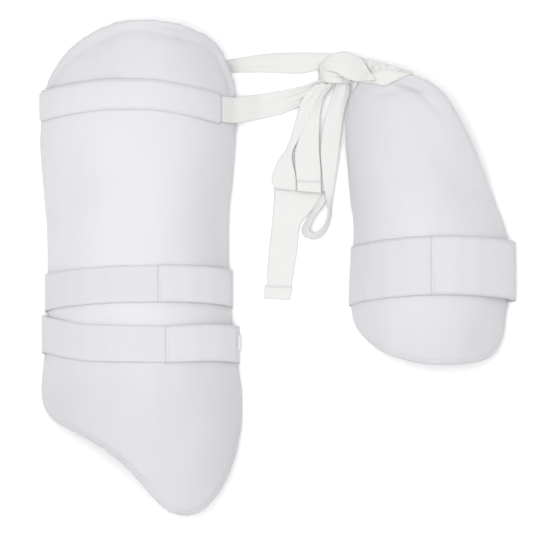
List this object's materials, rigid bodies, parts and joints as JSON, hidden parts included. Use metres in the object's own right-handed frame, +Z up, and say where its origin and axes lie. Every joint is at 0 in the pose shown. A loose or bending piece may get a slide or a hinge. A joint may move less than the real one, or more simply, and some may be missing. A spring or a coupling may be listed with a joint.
{
  "type": "cricket thigh guard",
  "caption": "Cricket thigh guard: a long bent outer thigh pad and an inner thigh pad with elastic straps, joined by a knotted cotton waist tape, lying with the fronts up.",
  "frame": {"origin": "on the floor under the middle of the whole guard's box", "axes": "+Y from the knee ends to the waist ends, +X from the outer pad to the inner pad, +Z up, away from the floor"},
  "size_m": [0.4694, 0.497, 0.0727],
  "materials": {
    "cover": "matt microfibre cover, cool white",
    "elastic": "ribbed knitted elastic, white",
    "patch": "hook-and-loop tape, white",
    "tape": "woven cotton tape, white",
    "label": "blank woven label"
  },
  "bodies": {
    "root": {"outer_pad": "cover", "inner_pad": "cover", "belt_sleeve": "cover", "upper_strap": "elastic", "lower_strap": "elastic", "inner_strap": "elastic", "upper_strap_patch": "patch", "lower_strap_patch": "patch", "inner_strap_patch": "patch", "waist_tape": "tape", "knot": "tape", "pad_wrap": "tape", "folded_strand": "tape", "short_tail": "tape", "slack_loop": "tape", "long_tail": "tape", "side_label": "label"}
  },
  "joints": []
}
